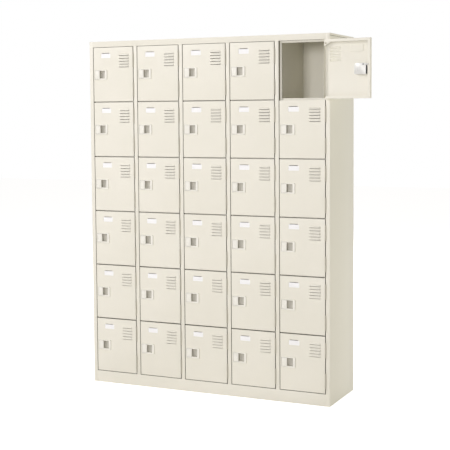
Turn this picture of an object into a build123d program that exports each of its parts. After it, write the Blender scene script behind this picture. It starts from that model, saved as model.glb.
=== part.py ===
"""Steel shoe locker: thirty pigeon-hole compartments, each with a hinged, louvred door.

Millimetres, +Z up. The origin lies on the floor, under the middle of the carcass.
The front of the carcass faces -Y, and doors swing on upright hinges at their right edge.
Row 1 is the top row and column 1 is the left column, seen from the front.
"""
from build123d import *
import math
import os

# Driving dimensions of the carcass
WIDTH = 1320.0
DEPTH = 360.0
HEIGHT = 1790.0
SHEET = 0.8
COLUMNS = 5
ROWS = 6
PLINTH_HEIGHT = 60.0
TOP_RAIL_HEIGHT = 29.0
STILE_WIDTH = 20.0
MULLION_WIDTH = 20.0
REBATE_DEPTH = 18.5
LEFT_STOP = 9.5
RIGHT_STOP = 8.0
TOP_STOP = 10.0
LIP_ABOVE_LINE = 8.0
LIP_BELOW_LINE = 11.0
LIP_RETURN = 10.0
REAR_FLANGE = 15.0
FLOOR_FLANGE = 15.0
BEARER_WIDTH = 60.0

# Driving dimensions of a door
DOOR_OPEN_ANGLE = 175.0
OPEN_ROW = 1
OPEN_COLUMN = 5
FREE_GAP = 2.0
HINGE_GAP = 3.0
ROW_GAP = 1.75
PAN_DEPTH = 18.0
PAN_FLANGE = 16.0

# Lift-off hinges: the axis stands proud of the front face so that a door folds back on its neighbour
AXIS_PROUD = 3.0
KNUCKLE_RADIUS = 3.0
PIN_RADIUS = 1.5
PIN_FIT = 0.05
LEAF_THICKNESS = 1.0
LEAF_DEPTH = 16.0
HINGE_LENGTH = 75.0
HINGE_CENTRES_BELOW_TOP = (69.0, 219.5)
KNUCKLE_ARC = 50.0
KNUCKLE_SHOULDER = 2.4

# Louvres: five pressed hoods, open at the bottom
LOUVRE_COUNT = 5
LOUVRE_LEFT = 156.0
LOUVRE_LENGTH = 57.0
LOUVRE_FIRST = 45.5
LOUVRE_PITCH = 14.75
LOUVRE_HEIGHT = 9.0
LOUVRE_PROUD = 3.6

# Name card behind a window
CARD_LEFT = 49.0
CARD_TOP = 32.0
CARD_WIDTH = 55.0
CARD_HEIGHT = 25.0
CARD_MARGIN = 3.0
CARD_THICKNESS = 0.6
POCKET_MARGIN = 6.0
POCKET_DEPTH = 2.2

# Handle: a moulded bezel with a finger cup on the right and a pull lever on the left
HANDLE_LEFT = 10.0
HANDLE_TOP = 117.0
HANDLE_WIDTH = 73.0
HANDLE_HEIGHT = 51.0
HANDLE_PROUD = 4.5
HANDLE_BEVEL = 1.5
CUP_LEFT = 41.0
CUP_TOP = 121.0
CUP_WIDTH = 31.0
CUP_HEIGHT = 40.0
CUP_DEPTH = 13.0
CUP_WALL = 1.5
LEVER_LEFT = 13.0
LEVER_TOP = 121.0
LEVER_WIDTH = 27.5
LEVER_HEIGHT = 43.0
LEVER_THICKNESS = 2.2
LEVER_PROUD = 0.8
LEVER_CLEAR = 1.0
LEVER_SWING_CLEAR = 1.7
LEVER_PIN_LEFT = 15.5
LEVER_PIN_DEPTH = -1.6
LEVER_PIN_RADIUS = 1.2
LEVER_PIN_GRIP = 2.0
LEVER_BARREL_RADIUS = 2.1
LEVER_TAIL_LEFT = 25.3
LEVER_TAIL_TOP = 128.5
LEVER_TAIL_WIDTH = 1.8
LEVER_TAIL_HEIGHT = 3.0

# Latch case and its sliding hook, on the back of the handle
CASE_LEFT = 24.0
CASE_TOP = 118.0
CASE_SIZE = 52.0
CASE_SHEET = 1.0
SLOT_LEFT = 27.0
SLOT_TOP = 120.6
SLOT_WIDTH = 14.0
SLOT_HEIGHT = 7.4
HOOK_TIP = 11.2
HOOK_THICKNESS = 1.8
HOOK_NOSE = 4.0
HOOK_STEM_LEFT = 27.5
HOOK_STEM_WIDTH = 5.5
HOOK_STEM_TOP = 121.5
HOOK_STEM_HEIGHT = 5.5
HOOK_BASE_WIDTH = 9.0
HOOK_BASE_HEIGHT = 11.0
HOOK_RUN_CLEAR = 0.2
TAB_WIDTH = 12.0
TAB_HEIGHT = 14.0
SCREW_BELOW_TOP = 151.0
SCREW_HEAD_RADIUS = 3.5
SCREW_HEAD_HEIGHT = 2.0
SCREW_SHANK_RADIUS = 1.9
SCREW_HOLE_RADIUS = 2.2

# Corner gusset of the door pan
GUSSET_WIDTH = 42.0
GUSSET_HEIGHT = 22.0
GUSSET_HOLE_RADIUS = 4.0
GUSSET_HOLE_ACROSS = 12.6
GUSSET_HOLE_DOWN = 7.7

# Worked out from the driving dimensions
FRONT = -DEPTH / 2
BACK = DEPTH / 2
COLUMN_PITCH = (WIDTH - 2 * STILE_WIDTH + MULLION_WIDTH) / COLUMNS
OPENING_WIDTH = COLUMN_PITCH - MULLION_WIDTH
ROW_PITCH = (HEIGHT - PLINTH_HEIGHT - TOP_RAIL_HEIGHT) / ROWS
RAIL_Z = HEIGHT - TOP_RAIL_HEIGHT
STOP_Y = FRONT + REBATE_DEPTH
SHELF_FRONT_Y = STOP_Y + SHEET
SHELF_BACK_Y = BACK - 2 * SHEET
INNER_X = WIDTH / 2 - SHEET
DOOR_WIDTH = OPENING_WIDTH - FREE_GAP - HINGE_GAP
DOOR_HEIGHT = ROW_PITCH - 2 * ROW_GAP
AXIS_FROM_LEFT = OPENING_WIDTH - HINGE_GAP / 2
CASE_FACE = PAN_DEPTH - CASE_SHEET
CASE_HOLD = 0.5


def block(x0, x1, y0, y1, z0, z1):
    """A box between two corners."""
    centre = Location(((x0 + x1) / 2, (y0 + y1) / 2, (z0 + z1) / 2))
    return centre * Box(x1 - x0, y1 - y0, z1 - z0)


def folded_upright(points, z0, z1):
    """A folded sheet with an upright profile: points are (x, y) round its section."""
    section = make_face(Polyline(*[(x, y, z0) for x, y in points], close=True))
    return extrude(section, amount=z1 - z0, dir=(0, 0, 1))


def folded_across(points, x0, x1):
    """A folded sheet with a level profile: points are (y, z) round its section."""
    section = make_face(Polyline(*[(x0, y, z) for y, z in points], close=True))
    return extrude(section, amount=x1 - x0, dir=(1, 0, 0))


def opening_left(column):
    """Left edge of a column's openings."""
    return -WIDTH / 2 + STILE_WIDTH + (column - 1) * COLUMN_PITCH


def row_bottom(row):
    """Line between a row and the row below it."""
    return PLINTH_HEIGHT + (ROWS - row) * ROW_PITCH


def partition_x(index):
    """Middle of the partition on the right of a column."""
    return opening_left(index) + OPENING_WIDTH + MULLION_WIDTH / 2


def side_panel_left():
    """Side wall with its front stile, door rebate, stop lip and rear flange in one folded sheet."""
    outer = -WIDTH / 2
    edge = outer + STILE_WIDTH
    tip = edge + LEFT_STOP
    rear = outer + REAR_FLANGE
    end = BACK - SHEET
    points = [
        (outer, FRONT), (edge, FRONT), (edge, STOP_Y), (tip, STOP_Y), (tip, STOP_Y + SHEET),
        (edge - SHEET, STOP_Y + SHEET), (edge - SHEET, FRONT + SHEET), (outer + SHEET, FRONT + SHEET),
        (outer + SHEET, end - SHEET), (rear, end - SHEET), (rear, end), (outer, end),
    ]
    return folded_upright(points, 0, HEIGHT - SHEET)


def side_panel_right():
    """Mirror image of the left side wall, with the narrower stop of the hinge side."""
    outer = WIDTH / 2
    edge = outer - STILE_WIDTH
    tip = edge - RIGHT_STOP
    rear = outer - REAR_FLANGE
    end = BACK - SHEET
    points = [
        (outer, FRONT), (edge, FRONT), (edge, STOP_Y), (tip, STOP_Y), (tip, STOP_Y + SHEET),
        (edge + SHEET, STOP_Y + SHEET), (edge + SHEET, FRONT + SHEET), (outer - SHEET, FRONT + SHEET),
        (outer - SHEET, end - SHEET), (rear, end - SHEET), (rear, end), (outer, end),
    ]
    return folded_upright(points, 0, HEIGHT - SHEET)


def stile_lip_notches(z0, z1):
    """Cut-outs at both ends of a cross member, where the stop lips of the side walls pass."""
    reach = WIDTH / 2 - STILE_WIDTH
    left = block(-reach, -reach + LEFT_STOP, STOP_Y, STOP_Y + SHEET, z0, z1)
    right = block(reach - RIGHT_STOP, reach, STOP_Y, STOP_Y + SHEET, z0, z1)
    return left + right


def top_panel():
    """Roof sheet whose front folds down into the top rail, its return and the top stop lip."""
    roof = block(-WIDTH / 2, WIDTH / 2, FRONT, BACK, HEIGHT - SHEET, HEIGHT)
    reach = WIDTH / 2 - STILE_WIDTH
    lip = SHELF_FRONT_Y
    rail = folded_across([
        (FRONT, HEIGHT - SHEET), (FRONT, RAIL_Z), (lip + SHEET, RAIL_Z),
        (lip + SHEET, RAIL_Z + SHEET), (FRONT + SHEET, RAIL_Z + SHEET), (FRONT + SHEET, HEIGHT - SHEET),
    ], -reach, reach)
    stop = block(-reach, reach, lip, lip + SHEET, RAIL_Z - TOP_STOP, RAIL_Z)
    return roof + rail + stop - stile_lip_notches(RAIL_Z, RAIL_Z + SHEET)


def back_panel():
    """Flat rear sheet."""
    return block(-WIDTH / 2, WIDTH / 2, BACK - SHEET, BACK, 0, HEIGHT - SHEET)


def plinth():
    """Kick plate under the doors, with a return at the top and a flange on the floor."""
    reach = WIDTH / 2 - STILE_WIDTH
    points = [
        (FRONT, 0), (FRONT, PLINTH_HEIGHT), (SHELF_FRONT_Y, PLINTH_HEIGHT),
        (SHELF_FRONT_Y, PLINTH_HEIGHT - SHEET), (FRONT + SHEET, PLINTH_HEIGHT - SHEET),
        (FRONT + SHEET, SHEET), (FRONT + FLOOR_FLANGE, SHEET), (FRONT + FLOOR_FLANGE, 0),
    ]
    kick = folded_across(points, -reach, reach)
    return kick - stile_lip_notches(PLINTH_HEIGHT - SHEET, PLINTH_HEIGHT)


def shelf_profile(line):
    """Section of a shelf: deck, front lip that stops the doors and the lip's return."""
    deck = line + LIP_ABOVE_LINE
    foot = line - LIP_BELOW_LINE
    front = SHELF_FRONT_Y
    return [
        (front, deck), (front, foot), (front + LIP_RETURN, foot), (front + LIP_RETURN, foot + SHEET),
        (front + SHEET, foot + SHEET), (front + SHEET, deck - SHEET),
        (SHELF_BACK_Y, deck - SHEET), (SHELF_BACK_Y, deck),
    ]


def bottom_deck():
    """Floor of the lowest row, one sheet from side wall to side wall."""
    return folded_across(shelf_profile(PLINTH_HEIGHT), -INNER_X, INNER_X)


def base_bearer():
    """Channel under the middle of the deck that stands on the floor."""
    half = BEARER_WIDTH / 2
    top = PLINTH_HEIGHT + LIP_ABOVE_LINE - SHEET
    points = [
        (-half, top), (-half, 0), (half, 0), (half, top),
        (half - SHEET, top), (half - SHEET, SHEET), (-half + SHEET, SHEET), (-half + SHEET, top),
    ]
    y0 = SHELF_FRONT_Y + LIP_RETURN
    y1 = SHELF_BACK_Y - SHEET
    section = make_face(Polyline(*[(x, y0, z) for x, z in points], close=True))
    return extrude(section, amount=y1 - y0, dir=(0, 1, 0))


def mullion(index):
    """Hat section between two columns: face, two returns and a stop lip on each side."""
    x = partition_x(index)
    half = MULLION_WIDTH / 2
    points = [
        (x - half, FRONT), (x + half, FRONT), (x + half, STOP_Y), (x + half + LEFT_STOP, STOP_Y),
        (x + half + LEFT_STOP, STOP_Y + SHEET), (x + half - SHEET, STOP_Y + SHEET),
        (x + half - SHEET, FRONT + SHEET), (x - half + SHEET, FRONT + SHEET),
        (x - half + SHEET, STOP_Y + SHEET), (x - half - RIGHT_STOP, STOP_Y + SHEET),
        (x - half - RIGHT_STOP, STOP_Y), (x - half, STOP_Y),
    ]
    return folded_upright(points, PLINTH_HEIGHT, RAIL_Z)


def partition(index):
    """Upright sheet between two columns, from the mullion to the back."""
    x = partition_x(index)
    deck = PLINTH_HEIGHT + LIP_ABOVE_LINE
    sheet = block(x - SHEET / 2, x + SHEET / 2, FRONT + SHEET, BACK - SHEET, deck, HEIGHT - SHEET)
    rail_notch = block(x - SHEET, x + SHEET, FRONT, SHELF_FRONT_Y + SHEET, RAIL_Z - TOP_STOP, HEIGHT)
    return sheet - rail_notch


def column_shelves(column):
    """The five shelves of a column, between its two partitions or side walls."""
    x0 = -INNER_X if column == 1 else partition_x(column - 1) + SHEET / 2
    x1 = INNER_X if column == COLUMNS else partition_x(column) - SHEET / 2
    return [folded_across(shelf_profile(row_bottom(row)), x0, x1) for row in range(1, ROWS)]


def hinge_place(row, column):
    """Frame of a door: on its hinge axis, level with the bottom line of its row."""
    x = opening_left(column) + AXIS_FROM_LEFT
    return Location((x, FRONT - AXIS_PROUD, row_bottom(row)))


def on_door(u0, u1, v0, v1, t0, t1):
    """A box on a door: u from the opening's left edge, v in from the front, t down from the row's top."""
    return block(
        u0 - AXIS_FROM_LEFT, u1 - AXIS_FROM_LEFT, v0 + AXIS_PROUD, v1 + AXIS_PROUD,
        ROW_PITCH - t1, ROW_PITCH - t0,
    )


def louvre_prism(mouth, back, inset):
    """Wedge of a louvre's sloping hood above its mouth, or of the space under it where inset."""
    front = AXIS_PROUD
    z = ROW_PITCH - mouth
    x0 = LOUVRE_LEFT - AXIS_FROM_LEFT + inset
    points = [(front + back, z), (front - LOUVRE_PROUD + inset, z), (front + back, z + LOUVRE_HEIGHT - inset)]
    return folded_across(points, x0, x0 + LOUVRE_LENGTH - 2 * inset)


def door_pan(handle_hole, pierced):
    """Pressed door skin with folded edges, card window and handle hole; its louvres may be pierced."""
    left = FREE_GAP
    right = left + DOOR_WIDTH
    top = ROW_GAP
    foot = top + DOOR_HEIGHT
    pan = on_door(left, right, 0, PAN_DEPTH, top, foot)
    pan -= on_door(left + SHEET, right - SHEET, SHEET, PAN_DEPTH - SHEET, top + SHEET, foot - SHEET)
    pan -= on_door(
        left + PAN_FLANGE, right - PAN_FLANGE, PAN_DEPTH - SHEET, PAN_DEPTH,
        top + PAN_FLANGE, foot - PAN_FLANGE,
    )
    pan -= on_door(CARD_LEFT, CARD_LEFT + CARD_WIDTH, 0, SHEET, CARD_TOP, CARD_TOP + CARD_HEIGHT)
    pan -= on_door(*handle_hole)
    for index in range(LOUVRE_COUNT):
        mouth = LOUVRE_FIRST + index * LOUVRE_PITCH
        pan += louvre_prism(mouth, 0, 0)
        if pierced:
            pan -= louvre_prism(mouth, SHEET, SHEET)
    return pan


def plain_handle():
    """Bezel with its finger cup, as one moulding."""
    right = HANDLE_LEFT + HANDLE_WIDTH
    foot = HANDLE_TOP + HANDLE_HEIGHT
    bezel = on_door(HANDLE_LEFT, right, -HANDLE_PROUD, 0, HANDLE_TOP, foot)
    rim = bezel.faces().sort_by(Axis.Y)[0].edges()
    bezel = chamfer(rim, HANDLE_BEVEL)
    cup = on_door(
        CUP_LEFT - CUP_WALL, CUP_LEFT + CUP_WIDTH + CUP_WALL, 0, CUP_DEPTH + CUP_WALL,
        CUP_TOP - CUP_WALL, CUP_TOP + CUP_HEIGHT + CUP_WALL,
    )
    recess = on_door(
        CUP_LEFT, CUP_LEFT + CUP_WIDTH, -HANDLE_PROUD, CUP_DEPTH, CUP_TOP, CUP_TOP + CUP_HEIGHT,
    )
    return bezel + cup - recess


def plain_lever():
    """Pull lever's face plate, lying on the bezel beside the finger cup."""
    return on_door(
        LEVER_LEFT, LEVER_LEFT + LEVER_WIDTH, -HANDLE_PROUD - LEVER_PROUD, -HANDLE_PROUD,
        LEVER_TOP, LEVER_TOP + LEVER_HEIGHT,
    )


def name_card():
    """Blank card that shows through the window."""
    return on_door(
        CARD_LEFT - CARD_MARGIN, CARD_LEFT + CARD_WIDTH + CARD_MARGIN, SHEET, SHEET + CARD_THICKNESS,
        CARD_TOP - CARD_MARGIN, CARD_TOP + CARD_HEIGHT + CARD_MARGIN,
    )


def hinge_foot(centre_below_top):
    """Height of a hinge's lower end above the row's bottom line."""
    return ROW_PITCH - centre_below_top - HINGE_LENGTH / 2


def leaf_sides(side):
    """Outer and inner faces of a leaf: -1 for the door's side of the gap, 1 for the carcass's."""
    return side * HINGE_GAP / 2, side * (HINGE_GAP / 2 - LEAF_THICKNESS)


def plain_leaf(side, z0):
    """A leaf rolled into its half of the barrel, round only at the front of the barrel."""
    outer, inner = leaf_sides(side)
    end = AXIS_PROUD + LEAF_DEPTH
    swing = math.radians(KNUCKLE_ARC / 2)
    across, along = KNUCKLE_RADIUS * math.sin(swing), -KNUCKLE_RADIUS * math.cos(swing)
    front = ThreePointArc((-across, along, z0), (0, -KNUCKLE_RADIUS, z0), (across, along, z0))
    back = Polyline(
        (side * across, along, z0), (side * KNUCKLE_RADIUS, 0, z0), (outer, KNUCKLE_SHOULDER, z0),
        (outer, end, z0), (inner, end, z0), (inner, KNUCKLE_SHOULDER, z0),
        (-side * KNUCKLE_RADIUS, 0, z0), (-side * across, along, z0),
    )
    section = make_face(front.edges() + back.edges())
    return extrude(section, amount=HINGE_LENGTH / 2, dir=(0, 0, 1))


def drilled_leaf(side, z0, radius):
    """A leaf welded to its half of a round barrel, drilled for the pin."""
    outer, inner = leaf_sides(side)
    half = HINGE_LENGTH / 2
    at = Location((0, 0, z0))
    leaf = block(min(outer, inner), max(outer, inner), 0, AXIS_PROUD + LEAF_DEPTH, z0, z0 + half)
    barrel = at * extrude(Circle(KNUCKLE_RADIUS), amount=half, dir=(0, 0, 1))
    return leaf + barrel - at * extrude(Circle(radius), amount=half, dir=(0, 0, 1))


def fixed_leaves(drilled):
    """The carcass's leaves with the lower halves of the barrels; a drilled one grips its pin."""
    feet = [hinge_foot(centre) for centre in HINGE_CENTRES_BELOW_TOP]
    if drilled:
        return [drilled_leaf(1, foot, PIN_RADIUS) for foot in feet]
    return [plain_leaf(1, foot) for foot in feet]


def moving_leaves(drilled):
    """The door's leaves with the upper halves of the barrels; a drilled one runs on its pin."""
    middles = [hinge_foot(centre) + HINGE_LENGTH / 2 for centre in HINGE_CENTRES_BELOW_TOP]
    if drilled:
        return [drilled_leaf(-1, middle, PIN_RADIUS + PIN_FIT) for middle in middles]
    return [plain_leaf(-1, middle) for middle in middles]


def hinge_pins(row, column):
    """Pins pressed into the lower knuckles of the open door."""
    pins = []
    for centre in HINGE_CENTRES_BELOW_TOP:
        pin = extrude(Circle(PIN_RADIUS), amount=HINGE_LENGTH, dir=(0, 0, 1))
        pins.append(hinge_place(row, column) * Location((0, 0, hinge_foot(centre))) * pin)
    return pins


def lever_housing():
    """Bezel of the open door: the plain moulding with a well and pin sockets for the lever."""
    well = on_door(
        LEVER_LEFT - LEVER_SWING_CLEAR, CUP_LEFT - CUP_WALL, -HANDLE_PROUD, 0,
        LEVER_TOP - LEVER_CLEAR, LEVER_TOP + LEVER_HEIGHT + LEVER_CLEAR,
    )
    ledge = on_door(
        CUP_LEFT - CUP_WALL, CUP_LEFT, -HANDLE_PROUD, -HANDLE_PROUD + LEVER_THICKNESS,
        LEVER_TOP - LEVER_CLEAR, LEVER_TOP + LEVER_HEIGHT + LEVER_CLEAR,
    )
    return plain_handle() - well - ledge - lever_pin()


def lever_pin():
    """Upright pin of the lever, held by its ends in the bezel."""
    seat = LEVER_CLEAR + LEVER_PIN_GRIP
    z0 = ROW_PITCH - LEVER_TOP - LEVER_HEIGHT - seat
    centre = Location((LEVER_PIN_LEFT - AXIS_FROM_LEFT, LEVER_PIN_DEPTH + AXIS_PROUD, z0))
    return centre * extrude(Circle(LEVER_PIN_RADIUS), amount=LEVER_HEIGHT + 2 * seat, dir=(0, 0, 1))


def pull_lever():
    """Lever with a face plate, a bored barrel on its pin and a tail that pushes the hook."""
    foot = LEVER_TOP + LEVER_HEIGHT
    face = -HANDLE_PROUD - LEVER_PROUD
    plate = on_door(LEVER_LEFT, LEVER_LEFT + LEVER_WIDTH, face, face + LEVER_THICKNESS, LEVER_TOP, foot)
    centre = Location((LEVER_PIN_LEFT - AXIS_FROM_LEFT, LEVER_PIN_DEPTH + AXIS_PROUD, ROW_PITCH - foot))
    barrel = centre * extrude(Circle(LEVER_BARREL_RADIUS), amount=LEVER_HEIGHT, dir=(0, 0, 1))
    bore = centre * extrude(Circle(LEVER_PIN_RADIUS + PIN_FIT), amount=LEVER_HEIGHT, dir=(0, 0, 1))
    tail_reach = CASE_FACE - HOOK_RUN_CLEAR - CASE_HOLD
    tail = on_door(
        LEVER_TAIL_LEFT, LEVER_TAIL_LEFT + LEVER_TAIL_WIDTH, face + LEVER_THICKNESS, tail_reach,
        LEVER_TAIL_TOP, LEVER_TAIL_TOP + LEVER_TAIL_HEIGHT,
    )
    return plate + barrel + tail - bore


def latch_case():
    """Plated cover over the back of the handle, with the hook's slot and a screw tab."""
    right = CASE_LEFT + CASE_SIZE
    foot = CASE_TOP + CASE_SIZE
    shell = on_door(CASE_LEFT, right, SHEET, PAN_DEPTH, CASE_TOP, foot)
    shell -= on_door(
        CASE_LEFT + CASE_SHEET, right - CASE_SHEET, SHEET, CASE_FACE,
        CASE_TOP + CASE_SHEET, foot - CASE_SHEET,
    )
    shell -= on_door(
        SLOT_LEFT, SLOT_LEFT + SLOT_WIDTH, CASE_FACE, PAN_DEPTH, SLOT_TOP, SLOT_TOP + SLOT_HEIGHT,
    )
    tab_top = SCREW_BELOW_TOP - TAB_HEIGHT / 2
    shell += on_door(right, right + TAB_WIDTH, SHEET, SHEET + CASE_SHEET, tab_top, tab_top + TAB_HEIGHT)
    return shell - screw_at(SCREW_HOLE_RADIUS, SHEET, CASE_SHEET)


def screw_at(radius, depth, length):
    """A round length of the latch screw, running in from a depth behind the door's face."""
    middle = CASE_LEFT + CASE_SIZE + TAB_WIDTH / 2
    start = Location((middle - AXIS_FROM_LEFT, depth + AXIS_PROUD, ROW_PITCH - SCREW_BELOW_TOP))
    return start * Rot(-90, 0, 0) * extrude(Circle(radius), amount=length, dir=(0, 0, 1))


def latch_screw():
    """Pan-head screw that holds the case's tab to the door."""
    seat = SHEET + CASE_SHEET
    return screw_at(SCREW_SHANK_RADIUS, SHEET, CASE_SHEET) + screw_at(SCREW_HEAD_RADIUS, seat, SCREW_HEAD_HEIGHT)


def latch_hook():
    """Hook that slides in the case: inner base, stem through the slot, arm and turned nose."""
    stem_right = HOOK_STEM_LEFT + HOOK_STEM_WIDTH
    stem_foot = HOOK_STEM_TOP + HOOK_STEM_HEIGHT
    inner = CASE_FACE - HOOK_RUN_CLEAR
    outer = PAN_DEPTH + HOOK_RUN_CLEAR
    face = outer + HOOK_THICKNESS
    base = on_door(
        HOOK_STEM_LEFT, HOOK_STEM_LEFT + HOOK_BASE_WIDTH, inner - HOOK_THICKNESS, inner,
        HOOK_STEM_TOP, HOOK_STEM_TOP + HOOK_BASE_HEIGHT,
    )
    stem = on_door(HOOK_STEM_LEFT, stem_right, inner - HOOK_THICKNESS, face, HOOK_STEM_TOP, stem_foot)
    arm = on_door(HOOK_TIP, stem_right, outer, face, HOOK_STEM_TOP, stem_foot)
    nose = on_door(HOOK_TIP, HOOK_TIP + HOOK_THICKNESS, face, face + HOOK_NOSE, HOOK_STEM_TOP, stem_foot)
    return base + stem + arm + nose


def card_pocket():
    """Folded holder behind the window that keeps the card in place."""
    left = CARD_LEFT - POCKET_MARGIN
    right = CARD_LEFT + CARD_WIDTH + POCKET_MARGIN
    foot = CARD_TOP + CARD_HEIGHT + POCKET_MARGIN
    pocket = on_door(left, right, SHEET, SHEET + POCKET_DEPTH, CARD_TOP - CARD_MARGIN, foot)
    slot = on_door(
        CARD_LEFT - CARD_MARGIN, CARD_LEFT + CARD_WIDTH + CARD_MARGIN, SHEET, SHEET + CARD_THICKNESS,
        CARD_TOP - CARD_MARGIN, CARD_TOP + CARD_HEIGHT + CARD_MARGIN,
    )
    window = on_door(
        CARD_LEFT, CARD_LEFT + CARD_WIDTH, SHEET, SHEET + POCKET_DEPTH, CARD_TOP - CARD_MARGIN,
        CARD_TOP + CARD_HEIGHT,
    )
    return pocket - slot - window


def corner_gusset():
    """Triangular stiffener in the top corner of the pan beside the hinge."""
    right = FREE_GAP + DOOR_WIDTH - SHEET - AXIS_FROM_LEFT
    top = ROW_PITCH - ROW_GAP - SHEET
    y0 = AXIS_PROUD + PAN_DEPTH - 2 * SHEET
    corners = [(right, y0, top), (right - GUSSET_WIDTH, y0, top), (right, y0, top - GUSSET_HEIGHT)]
    plate = extrude(make_face(Polyline(*corners, close=True)), amount=SHEET, dir=(0, 1, 0))
    centre = Location((right - GUSSET_HOLE_ACROSS, y0, top - GUSSET_HOLE_DOWN))
    hole = centre * Rot(-90, 0, 0) * extrude(Circle(GUSSET_HOLE_RADIUS), amount=SHEET, dir=(0, 0, 1))
    return plate - hole


def plain_door():
    """A closed door in its own frame: pan, handle, lever plate, card and two hinge leaves."""
    cup_hole = (
        CUP_LEFT - CUP_WALL, CUP_LEFT + CUP_WIDTH + CUP_WALL, 0, SHEET,
        CUP_TOP - CUP_WALL, CUP_TOP + CUP_HEIGHT + CUP_WALL,
    )
    pieces = [door_pan(cup_hole, False), plain_handle(), plain_lever(), name_card()]
    return pieces + moving_leaves(False)


def open_door_nodes():
    """The open door taken apart into its pieces."""
    lever_hole = (
        LEVER_LEFT - LEVER_SWING_CLEAR, CUP_LEFT + CUP_WIDTH + CUP_WALL, 0, SHEET,
        CUP_TOP - CUP_WALL, LEVER_TOP + LEVER_HEIGHT + LEVER_CLEAR,
    )
    place = hinge_place(OPEN_ROW, OPEN_COLUMN) * Rot(0, 0, DOOR_OPEN_ANGLE)
    pieces = {
        "open_door_pan": [door_pan(lever_hole, True)],
        "open_door_hinge_leaves": moving_leaves(True),
        "handle_housing": [lever_housing()],
        "pull_lever": [pull_lever()],
        "lever_pin": [lever_pin()],
        "latch_case": [latch_case()],
        "latch_hook": [latch_hook()],
        "latch_screw": [latch_screw()],
        "card_pocket": [card_pocket()],
        "name_card": [name_card()],
        "corner_gusset": [corner_gusset()],
    }
    return {name: [place * piece for piece in group] for name, group in pieces.items()}


def all_nodes():
    """Every node of the locker, as a name and its list of solids."""
    inner = range(1, COLUMNS)
    nodes = {
        "side_panel_left": [side_panel_left()],
        "side_panel_right": [side_panel_right()],
        "top_panel": [top_panel()],
        "back_panel": [back_panel()],
        "plinth": [plinth()],
        "bottom_deck": [bottom_deck()],
        "base_bearer": [base_bearer()],
        "front_mullions": [mullion(index) for index in inner],
    }
    for index in inner:
        nodes[f"partition_{index}"] = [partition(index)]
    for column in range(1, COLUMNS + 1):
        nodes[f"shelves_column_{column}"] = column_shelves(column)
    closed_door = plain_door()
    closed_leaves = fixed_leaves(False)
    open_leaves = fixed_leaves(True)
    frame_leaves = [hinge_place(OPEN_ROW, OPEN_COLUMN) * leaf for leaf in open_leaves]
    for row in range(1, ROWS + 1):
        for column in range(1, COLUMNS + 1):
            if (row, column) == (OPEN_ROW, OPEN_COLUMN):
                continue
            place = hinge_place(row, column)
            frame_leaves += [place * leaf for leaf in closed_leaves]
            nodes[f"door_row{row}_column{column}"] = [place * piece for piece in closed_door]
    nodes["frame_hinge_leaves"] = frame_leaves
    nodes["hinge_pins"] = hinge_pins(OPEN_ROW, OPEN_COLUMN)
    nodes.update(open_door_nodes())
    return nodes


def write_node(name, solids):
    """One STEP file per node, with its pieces as separate solids."""
    parts = [solid for piece in solids for solid in piece.solids()]
    shape = parts[0] if len(parts) == 1 else Compound(children=parts)
    shape.label = name
    export_step(shape, f"parts/{name}.step")


os.makedirs("parts", exist_ok=True)
locker = all_nodes()
for node_name, node_solids in locker.items():
    write_node(node_name, node_solids)
print("nodes", len(locker), "row pitch", ROW_PITCH, "column pitch", COLUMN_PITCH)
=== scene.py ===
# %% [markdown]
# # A steel shoe locker with thirty louvred doors
#
# The locker is a tall steel cabinet of five columns and six rows of pigeon-holes. Each hole has
# a pressed door with five louvres, a card window, a moulded handle with a pull lever, and two
# upright hinges. The door at the top right stands wide open and shows its back.
#
# The cabinet's measures come from its CAD model, which is loaded first and stays fixed. This
# lesson dresses it: folded sheet with soft edges, doors with real louvres, and the finishes.

# %% Load the measured model
import math
import bmesh
import bpy
from mathutils import Matrix, Vector


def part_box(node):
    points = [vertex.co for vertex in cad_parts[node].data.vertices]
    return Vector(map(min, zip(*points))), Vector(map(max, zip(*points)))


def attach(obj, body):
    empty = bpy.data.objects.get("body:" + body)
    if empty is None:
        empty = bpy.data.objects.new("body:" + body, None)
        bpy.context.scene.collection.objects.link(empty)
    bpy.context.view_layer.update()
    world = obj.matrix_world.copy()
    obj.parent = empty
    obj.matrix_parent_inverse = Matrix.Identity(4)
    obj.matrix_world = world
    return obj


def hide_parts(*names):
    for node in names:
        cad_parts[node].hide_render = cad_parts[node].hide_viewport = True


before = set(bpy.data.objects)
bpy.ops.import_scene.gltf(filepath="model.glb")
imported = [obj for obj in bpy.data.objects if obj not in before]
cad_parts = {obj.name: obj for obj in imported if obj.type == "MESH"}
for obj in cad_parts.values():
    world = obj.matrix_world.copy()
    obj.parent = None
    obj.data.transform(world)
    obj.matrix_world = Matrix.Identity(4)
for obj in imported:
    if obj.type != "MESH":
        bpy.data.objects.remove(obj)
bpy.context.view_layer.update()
MM = 0.001

# %% [markdown]
# ## The camera
#
# The cabinet is seen from the right of its front, a little below its top. A long lens keeps the
# uprights nearly parallel. The view could be set by tracking an empty, but the three angles of
# the camera are plainer to read and need no second object.

# %% Place the camera
CAMERA_PLACE = (2.378, -5.074, 1.415)
CAMERA_YAW = math.radians(24.85)
CAMERA_PITCH = math.radians(3.97)
CAMERA_ROLL = math.radians(-0.40)
CAMERA_LENS = 87.2
CAMERA_SENSOR = 36
CAMERA_SHIFT = -0.08

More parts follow.
